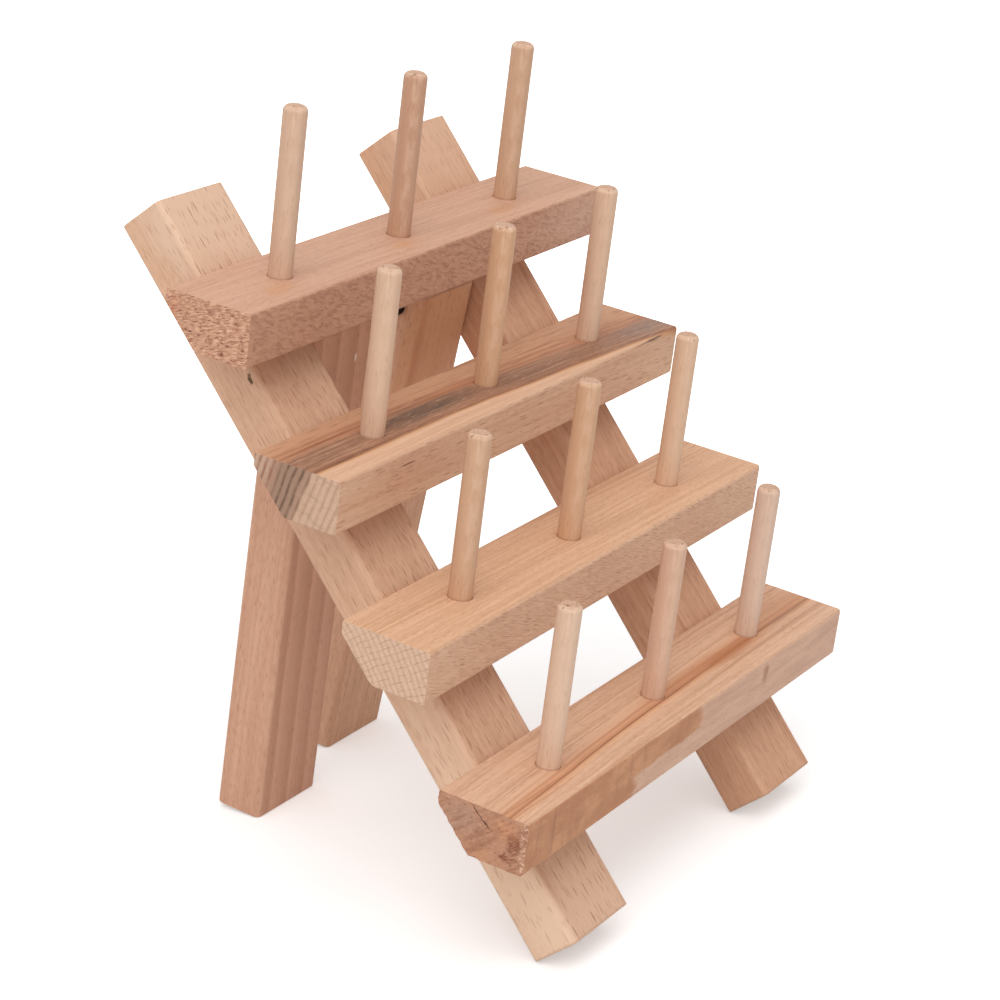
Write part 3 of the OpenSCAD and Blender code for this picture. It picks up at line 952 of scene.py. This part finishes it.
def shelf_lower_wood():
    """Warm tan with fine straight grain; the left end shows a fine net of rings and rays."""
    wood = Wood("shelf beech lower", shelf_frame("lower"), ring_run=(0.02, 1.0, 0.8))
    top, front = wood.toward(2, 1), wood.toward(1, -1)
    wood.grain(tint(227, 183, 149), tint(208, 161, 127), rings=0.9)
    wood.lines(tint(194, 142, 106), (4.0, 420.0, 1.0), 0.54, 0.72, 0.45, top)
    wood.paint(tint(224, 184, 156), wood.both(front, 0.5))
    wood.dashes(tint(190, 140, 105), (210.0, 1400.0, 1400.0), 0.8, 0.34, 0.6, top)
    wood.dashes(tint(184, 134, 100), (320.0, 2100.0, 2100.0), 0.8, 0.34, 0.45, top)
    run = wood.tilted(0.34)
    wood.flecks(tint(176, 126, 95), run, (170.0, 1300.0, 1900.0), 0.5, 0.64, 0.26, front, 0.6)
    wood.flecks(tint(238, 202, 174), run, (170.0, 1300.0, 1900.0), 0.47, 0.36, 0.35, front)
    wood.dashes(tint(158, 104, 74), (130.0, 1100.0, 1650.0), 0.7, 0.33, 0.66, front, 0.6, run)
    wood.dashes(tint(164, 114, 85), (220.0, 1600.0, 2400.0), 0.7, 0.33, 0.48, front, 0.5, run)
    wood.sawn(
        tint(166, 129, 103),
        pith=(85, -74),
        ring_step=2.1,
        ray_step=2.1,
        lines=0.34,
        rays=0.5,
        pores=0.35,
        woods=(tint(228, 192, 165), tint(212, 174, 147)),
    )
    wood.edges(tint(232, 194, 164), 0.35)
    return wood.finish()


def cracked_end(wood):
    """Sawn ends; the left one has splinters, two tears, a pale fringe and a crack."""
    left = wood.toward(0, -1)
    left_x = -110
    wood.sawn(
        tint(140, 94, 72),
        pith=(30, -90),
        ring_step=3.0,
        ray_step=2.4,
        lines=0.12,
        rays=0.1,
        pores=0.35,
        woods=(tint(206, 153, 122), tint(180, 130, 102)),
    )
    slanted = {"Y": wood.across((0.0, 0.8, -0.6)), "Z": wood.across((0.0, 0.6, 0.8))}
    splinter_at = add(wood.tree, "ShaderNodeCombineXYZ", slanted).outputs[0]
    fine = wood.both(wood.mottle(splinter_at, (0.0, 330.0, 1200.0), 0.44, 0.6), left)
    broad = wood.both(wood.mottle(splinter_at, (0.0, 60.0, 420.0), 0.46, 0.62), left)
    wood.spot((left_x, -9, -6), (6, 10, 8), tint(180, 140, 119), 0.75, soft=0.8, where=left)
    wood.spot((left_x, -25, -5), (6, 7, 5), tint(206, 143, 104), 0.6, soft=0.8, where=left)
    wood.spot((left_x, -16.5, -15.5), (6, 7, 3.5), tint(204, 146, 108), 0.6, soft=0.8, where=left)
    wood.paint(tint(150, 98, 74), wood.both(broad, 0.55))
    wood.flecks(tint(222, 172, 142), splinter_at, (0.0, 330.0, 1200.0), 0.46, 0.34, 0.35, left)
    tears = (
        ((-28.3, -8.6), (3.4, 4.4), tint(106, 48, 30), (-27.8, -8.8), (3.8, 4.4), tint(150, 88, 60), 0.55),
        ((-26.4, -13.9), (4.0, 2.2), tint(118, 60, 40), (-26.4, -13.8), (4.2, 1.8), tint(156, 94, 66), 0.5),
    )
    for deep_at, deep_half, deep, soft_at, soft_half, soft, amount in tears:
        hole, rim = (left_x, *deep_at), (left_x, *soft_at)
        wood.spot(hole, (6, *deep_half), deep, 0.95, ragged=0.5, soft=0.7, where=fine, depth=2.0)
        wood.spot(rim, (6, *soft_half), soft, amount, ragged=0.6, where=left)
    forward = wood.wavered(wood.parts["Y"], (0.0, 500.0, 500.0), 3.0)
    fringe = wood.both(left, wood.between(forward, -29.6, -31.4))
    wood.flecks(tint(240, 206, 180), wood.place, (0.0, 900.0, 900.0), 0.5, 0.62, 0.8, fringe)
    wood.flecks(tint(160, 88, 60), wood.place, (0.0, 800.0, 800.0), 0.46, 0.36, 0.6, fringe, 1.0)
    wood.dashes(tint(128, 72, 50), (60.0, 500.0, 1100.0), 0.15, 0.36, 0.5, left, 1.5, splinter_at)
    # A thin arched crack rises towards the back
    rise = math.radians(40)
    along = Vector((0, math.cos(rise), math.sin(rise)))
    square = Vector((0, -math.sin(rise), math.cos(rise)))
    middle, crest = (0, -15.6, -3.4), (0, -15.2, -3.4)
    apart = calc(wood.tree, "SUBTRACT", wood.across(along), along.dot(middle) * MM)
    bow = calc(wood.tree, "POWER", apart, 2.0)
    arched = calc(wood.tree, "MULTIPLY_ADD", bow, -10.0, wood.across(square))
    bent = wood.wavered(arched, (0.0, 900.0, 900.0), 0.5)
    off_crack = calc(wood.tree, "SUBTRACT", bent, square.dot(crest) * MM)
    thin = wood.between(calc(wood.tree, "ABSOLUTE", off_crack), 0.26, 0.06)
    short = wood.between(calc(wood.tree, "ABSOLUTE", apart), 5.6, 3.0)
    wood.mark(tint(66, 34, 24), wood.both(thin, short), 1.0, left, 3.0)


def shelf_bottom_wood():
    """A thin reddish line along the top, a pale lens on the front and a cracked left end."""
    wood = Wood("shelf beech bottom", shelf_frame("bottom"), ring_run=(-0.03, 1.0, 0.15), bow=0.15)
    top, front = wood.toward(2, 1), wood.toward(1, -1)
    ring = wood.wavered(wood.ring_place, (24.0, 300.0, 300.0), 1.0)
    wood.grain(tint(224, 182, 152), tint(203, 157, 126), rings=0.9)
    across = [
        (-30.0, tint(226, 182, 149)),
        (-22.2, tint(224, 176, 140)),
        (-21.1, tint(212, 156, 118)),
        (-20.75, tint(138, 86, 60)),
        (-20.3, tint(196, 138, 102)),
        (-18.8, tint(214, 160, 124)),
        (-17.7, tint(196, 140, 106)),
        (-17.0, tint(218, 171, 138)),
        (2.0, tint(218, 174, 144)),
    ]
    lined = wood.both(top, wood.between(ring, -24.0, -22.0), wood.between(ring, -13.0, -17.0))
    wood.paint(wood.strip(ring, across), lined)
    wood.spot((28, -17.8, 0), (50, 5.2, 4), tint(194, 130, 88), 0.6, where=top)
    wood.spot((49, -19.8, 0), (34, 5.0, 4), tint(172, 108, 68), 0.75, where=top)
    wood.spot((92, -19.5, 0), (27, 2.6, 4), tint(152, 112, 90), 0.5, where=top)
    wood.spot((96, -13, 0), (40, 10, 4), tint(190, 133, 99), 0.55, where=top)
    red_lines = {-23.4: tint(170, 108, 76), -25.2: tint(186, 124, 90), -26.6: tint(176, 116, 84)}
    for line_y, tone in red_lines.items():
        wood.spot((-104, line_y, 0), (48, 0.7, 4), tone, 0.5, ragged=0.35, where=top)
    wood.lines(tint(178, 126, 96), (5.0, 520.0, 1.0), 0.56, 0.72, 0.4, top)
    wood.dashes(tint(172, 122, 94), (200.0, 1300.0, 1300.0), 0.6, 0.34, 0.4)
    cloudy = wood.mottle(wood.place, (60.0, 200.0, 130.0), 0.35, 0.65)
    brown = layer(wood.tree, tint(206, 148, 107), tint(184, 124, 86), cloudy)
    wood.paint(brown, wood.both(front, 0.9))
    upright = wood.mottle(wood.place, (210.0, 60.0, 26.0), 0.5, 0.68)
    wood.paint(tint(160, 104, 76), wood.both(upright, front, 0.35))
    wood.spot((-93.5, SHELF_FRONT, -9), (1.6, 4, 12), tint(150, 98, 72), 0.5, soft=0.8, where=front)
    across_x = wood.wavered(wood.parts["X"], (60.0, 200.0, 200.0), 16.0)
    upward = wood.wavered(wood.parts["Z"], (60.0, 200.0, 200.0), 5.0)
    low_part = wood.both(wood.between(across_x, -43.0, -37.0), wood.between(upward, -8.2, -9.8))
    lens = calc(wood.tree, "MAXIMUM", low_part, wood.between(across_x, 0.0, 5.0))
    cloudy = wood.mottle(wood.place, (40.0, 300.0, 300.0), 0.35, 0.65)
    pale = layer(wood.tree, tint(220, 179, 153), tint(206, 164, 139), cloudy)
    wood.paint(pale, wood.both(lens, front, 0.95))
    wood.spot((51, SHELF_FRONT, -5), (3.0, 4, 5), tint(172, 116, 86), 0.75, ragged=0.7, soft=0.8, where=front)
    wood.spot((20, SHELF_FRONT, -2.5), (18, 4, 3), tint(200, 150, 122), 0.5, ragged=0.6, where=front)
    wood.dashes(tint(172, 122, 96), (330.0, 1400.0, 1400.0), 0.6, 0.34, 0.45, front)
    cracked_end(wood)
    wood.edges(tint(226, 184, 156), 0.3)
    return wood.finish(relief=0.4)


SHELF_WOODS = {
    "top": shelf_top_wood,
    "upper": shelf_upper_wood,
    "lower": shelf_lower_wood,
    "bottom": shelf_bottom_wood,
}

# The pegs were turned from different sticks, so each has its own tone
PEG_TONES = {
    "top": (tint(216, 180, 154), tint(201, 157, 129), tint(211, 170, 139)),
    "upper": (tint(222, 186, 158), tint(214, 169, 133), tint(225, 190, 162)),
    "lower": (tint(213, 171, 139), tint(217, 174, 139), tint(229, 193, 163)),
    "bottom": (tint(229, 195, 169), tint(222, 182, 156), tint(226, 195, 174)),
}


def peg_wood():
    wood = Wood("peg birch", peg_frame("top", "middle"), ring_run=(0.0, 1.0, 0.3), attribute="own_place")
    tone = add(wood.tree, "ShaderNodeAttribute", attribute_name="own_tone").outputs["Color"]
    deep = layer(wood.tree, tone, tint(150, 100, 72), 0.18)
    wood.grain(tone, deep, streaks=1.0, rings=0.5)
    wood.lines(tint(176, 122, 90), (14.0, 900.0, 1.0), 0.62, 0.8, 0.25)
    wood.dashes(tint(170, 122, 94), (190.0, 1900.0, 1900.0), 0.5, 0.28, 0.5)
    wood.sawn(
        tint(140, 94, 70),
        pith=(0.6, 0.4),
        ring_step=1.1,
        ray_step=0.5,
        lines=0.4,
        rays=0.1,
        pores=0.4,
        woods=(tint(222, 186, 160), tint(200, 158, 130)),
    )
    # Painted shade: a thin dark ring at the peg's foot, where it goes into its hole
    wood.spot((0, 0, 0), (0.8, 9, 9), tint(160, 104, 74), 0.4, ragged=0.6)
    wood.edges(tint(232, 198, 172), 0.35)
    sideways = vector_calc(wood.tree, "MULTIPLY", wood.place, (0.0, 1.0, 1.0))
    from_axis = vector_calc(wood.tree, "LENGTH", sideways, (0.0, 0.0, 0.0))
    high = wood.between(wood.parts["X"], PEG_H - 1.8, PEG_H - 0.8)
    crown = wood.both(high, wood.between(from_axis, 1.1, 2.2))
    own_at = vector_calc(wood.tree, "ADD", wood.place, tone)
    wood.flecks(tint(108, 66, 45), own_at, (520.0, 520.0, 520.0), 0.6, 0.68, 0.75, crown, 1.5)
    wood.flecks(tint(240, 212, 190), own_at, (500.0, 500.0, 500.0), 0.42, 0.34, 0.4, crown)
    return wood.finish(relief=0.25, dull=0.55)


def turned_steel(name, colour, stained, dull):
    """Screw steel with faint turning marks and a little staining."""
    material = bpy.data.materials.new(name)
    tree = cleared(material)
    place = add(tree, "ShaderNodeTexCoord").outputs["Object"]
    made = apply_effect(tree, STEEL, {"Place": place})
    given = {
        "Base Color": layer(tree, colour, stained, ramp_between(tree, made["Stain"], 0.5, 0.75, 0.0, 0.6)),
        "Roughness": ramp_between(tree, made["Stain"], 0.3, 0.7, dull, dull + 0.2),
        "Metallic": 1.0,
        "Normal": raised(tree, made["Marks"], 0.12, 0.2),
    }
    surface(tree, add(tree, "ShaderNodeBsdfPrincipled", given))
    return material


# Pieces


def make_rail(side):
    corners = flat_bar(RAIL_W, RAIL_T)
    bm = bar(0, RAIL_LEN, corners)
    ease(bm, long_edges(bm, corners), RAIL_ROUND, ROUND_STEPS)
    ease(bm, end_edges(bm, 0) + end_edges(bm, RAIL_LEN), EASED, EASED_STEPS)
    back_len = (SHELF_H - SHELF_LAND) / math.sin(math.radians(90 - SHELF_BEVEL))
    spots = [(at - back_len + SCREW_UP, -SCREW_ASIDE) for at in SHELF_AT.values()]
    head, shank = SCREW_HEAD_D / 2, SCREW_D / 2
    steps = [
        (head + SCREW_MOUTH, 0.0),
        (head + SCREW_MOUTH_END[0], SCREW_MOUTH_END[1]),
        (head + HOLE_PLAY, SCREW_SINK + HOLE_PLAY),
        (shank + HOLE_PLAY, SCREW_SINK + SCREW_CONE),
    ]
    drill(bm, widest_face(bm, (0, 0, 1)), spots, steps)
    name = "rail_bar_" + side
    place_piece(bm, name, rail_frame(side), rail_wood(side), "rack", "rail_" + side)


def make_leg(side):
    own = leg_frame(side)
    corners = flat_bar(LEG_W, LEG_T)
    tilt = math.radians(LEG_ANGLES[side] - RAIL_LEAN)
    pivot_z = own.to_translation().z / MM
    below = (pivot_z - LEG_T / 2 * math.sin(tilt)) / math.cos(tilt)
    bm = bar(-below, LEG_SPARE, corners)
    ease(bm, long_edges(bm, corners), LEG_ROUND, ROUND_STEPS)
    to_own = own.inverted() @ LEANING
    stop = to_own @ (Vector((0, LEG_STOP_GAP - RAIL_T, PIVOT_AT)) * MM)
    out = to_own.to_3x3() @ Vector((0, -1, 0))
    whole = list(bm.verts) + list(bm.edges) + list(bm.faces)
    cut = bmesh.ops.bisect_plane(bm, geom=whole, plane_co=stop, plane_no=out, clear_outer=True)["geom_cut"]
    rim = only(cut, bmesh.types.BMEdge)
    bmesh.ops.contextual_create(bm, geom=rim)
    ease(bm, rim + end_edges(bm, -below), EASED, EASED_STEPS)
    place_piece(bm, "leg_bar_" + side, own, leg_wood(side), side + "_leg", "leg_" + side)


def make_shelf(row):
    left = SHELF_ASIDE[row] - SHELF_LEN[row] / 2
    right = left + SHELF_LEN[row]
    run = (SHELF_H - SHELF_LAND) / math.tan(math.radians(90 - SHELF_BEVEL))
    front = [(-SHELF_D, 0), (-SHELF_D, -SHELF_H)]
    back = [(-run, -SHELF_H), (0, -SHELF_LAND), (0, 0)]
    bm = bar(left, right, front + back)
    ease(bm, long_edges(bm, front), SHELF_ROUND, SHELF_STEPS)
    ease(bm, long_edges(bm, back[:1]), SHELF_HEEL[row], SHELF_STEPS)
    ease(bm, long_edges(bm, back[1:]), EASED, EASED_STEPS)
    if row in TORN_SEED:
        rough_end(bm, left, TORN_PITCH, TORN_DEPTH, TORN_SEED[row])
    else:
        ease(bm, end_edges(bm, left), EASED, EASED_STEPS)
    ease(bm, end_edges(bm, right), EASED, EASED_STEPS)
    spots = [(x * PEG_PITCH + PEG_ASIDE[row], -SHELF_D / 2) for x in COLUMNS.values()]
    hole = PEG_D / 2 + HOLE_PLAY
    steps = [(hole + PEG_MOUTH, 0.0), (hole, PEG_MOUTH), (hole, PEG_SUNK + HOLE_SPARE)]
    drill(bm, widest_face(bm, (0, 0, 1)), spots, steps)
    name = "shelf_" + row
    place_piece(bm, "shelf_bar_" + row, shelf_frame(row), SHELF_WOODS[row](), "rack", name)


def make_peg(row, column, wood):
    """A turned peg that carries its own place and tone for the wood."""
    bm = bmesh.new()
    upright = move((PEG_H - PEG_SUNK) / 2, 0, 0) @ Matrix.Rotation(math.radians(90), 4, "Y")
    radius = PEG_D / 2 * MM
    bmesh.ops.create_cone(
        bm,
        cap_ends=True,
        segments=PEG_SIDES,
        radius1=radius,
        radius2=radius,
        depth=(PEG_H + PEG_SUNK) * MM,
        matrix=upright,
    )
    ease(bm, end_edges(bm, PEG_H), PEG_ROUND, PEG_STEPS)
    for inset in PEG_CROWN_INSETS:
        crown = widest_face(bm, (1, 0, 0))
        bmesh.ops.inset_region(bm, faces=[crown], thickness=inset * MM, depth=0.0, use_even_offset=True)
    name = "_".join((row, column))
    places = bm.verts.layers.float_vector.new("own_place")
    tones = bm.verts.layers.float_color.new("own_tone")
    tone = PEG_TONES[row][COLUMNS[column] + 1]
    for v in bm.verts:
        v[places] = v.co
        v[tones] = tone
    place_piece(bm, "peg_turned_" + name, peg_frame(row, column), wood, "rack", "peg_" + name)


for side in SIDES:
    make_rail(side)
    make_leg(side)
PEG_WOOD = peg_wood()
for row in SHELF_AT:
    make_shelf(row)
    for column in COLUMNS:
        make_peg(row, column, PEG_WOOD)

PIVOT_STEEL = turned_steel("pivot steel", tint(40, 32, 26), tint(24, 17, 12), 0.5)
SCREW_STEEL = turned_steel("screw steel", tint(176, 172, 164), tint(92, 84, 74), 0.3)
for name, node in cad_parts.items():
    if name.startswith("pivot") or name == "shelf_screws":
        node.data.materials.clear()
        node.data.materials.append(SCREW_STEEL if name == "shelf_screws" else PIVOT_STEEL)


# Floor and lights, in metres

FLOOR_HALF = 5.0
PAPER = (0.86, 0.86, 0.86, 1.0)
WHITE = (1.0, 1.0, 1.0, 1.0)
# The floor is lifted to white away from the rack, and less where its shadow lies
SHADOW_FROM, SHADOW_TO, SHADOW_LIFT = 0.22, 0.6, 0.38
SKY_LIGHT = 0.5
LAMP_AIM = (0, 0, 0.1)
# Each lamp's place, power and size
LAMPS = {"soft key": ((-1.1, -0.35, 1.25), 13.0, 1.4), "top light": ((0.1, -0.2, 1.7), 9.0, 1.8)}

# The camera, in millimetres and degrees; its focal length is a ratio to the sensor's width
SENSOR = 36.0
FOCAL_RATIO = 2.948
CAMERA_AT = Vector((-809.07, -488.49, 446.01))
CAMERA_AIM = Vector((-0.8, -6.86, 117.47))
CAMERA_ROLL = 1.823
CLIP = (50.0, 50000.0)


def seen_ray(tree):
    """1 for the rays that show the floor and the sky as such, in view or in a reflection."""
    ray = add(tree, "ShaderNodeLightPath").outputs
    mirrored = calc(tree, "ADD", ray["Is Camera Ray"], ray["Is Glossy Ray"])
    return calc(tree, "ADD", mirrored, ray["Is Transmission Ray"], clamp=True)


def make_floor():
    bm = bmesh.new()
    bmesh.ops.create_grid(bm, x_segments=8, y_segments=8, size=FLOOR_HALF)
    mesh = bpy.data.meshes.new("studio_floor")
    bm.to_mesh(mesh)
    bm.free()
    floor = show("studio_floor", mesh)
    material = bpy.data.materials.new("white paper")
    tree = cleared(material)
    seen = seen_ray(tree)
    paper = add(tree, "ShaderNodeBsdfDiffuse", {"Color": PAPER})
    place = add(tree, "ShaderNodeTexCoord").outputs["Object"]
    away = vector_calc(tree, "LENGTH", place, (0.0, 0.0, 0.0))
    glow = calc(tree, "MULTIPLY", seen, ramp_between(tree, away, SHADOW_FROM, SHADOW_TO, SHADOW_LIFT, 1.0))
    lift = add(tree, "ShaderNodeEmission", {"Color": WHITE, "Strength": glow})
    surface(tree, add(tree, "ShaderNodeAddShader", {0: paper.outputs[0], 1: lift.outputs[0]}))
    mesh.materials.append(material)


def make_sky():
    world = bpy.data.worlds.new("white studio")
    bpy.context.scene.world = world
    tree = cleared(world)
    level = ramp_between(tree, seen_ray(tree), 0.0, 1.0, SKY_LIGHT, 1.0, smooth=False)
    sky = add(tree, "ShaderNodeBackground", {"Color": WHITE, "Strength": level})
    surface(tree, sky, "ShaderNodeOutputWorld")


def make_lamp(name, place, power, size):
    lamp = bpy.data.lights.new(name, "AREA")
    lamp.energy = power
    lamp.size = size
    made = show(name, lamp)
    made.location = place
    made.rotation_mode = "QUATERNION"
    made.rotation_quaternion = (Vector(LAMP_AIM) - Vector(place)).to_track_quat("-Z", "Y")


def make_camera():
    lens = bpy.data.cameras.new("photo view")
    lens.sensor_fit = "HORIZONTAL"
    lens.sensor_width = SENSOR
    lens.lens = SENSOR * FOCAL_RATIO
    lens.clip_start, lens.clip_end = [reach * MM for reach in CLIP]
    camera = show("photo view", lens)
    facing = (CAMERA_AIM - CAMERA_AT).to_track_quat("-Z", "Y").to_matrix().to_4x4()
    rolled = Matrix.Rotation(math.radians(CAMERA_ROLL), 4, "Z")
    camera.matrix_world = move(*CAMERA_AT) @ facing @ rolled
    bpy.context.scene.camera = camera


make_floor()
make_sky()
for name, settings in LAMPS.items():
    make_lamp(name, *settings)
make_camera()
bpy.context.scene.view_settings.view_transform = "Standard"

bpy.context.view_layer.update()
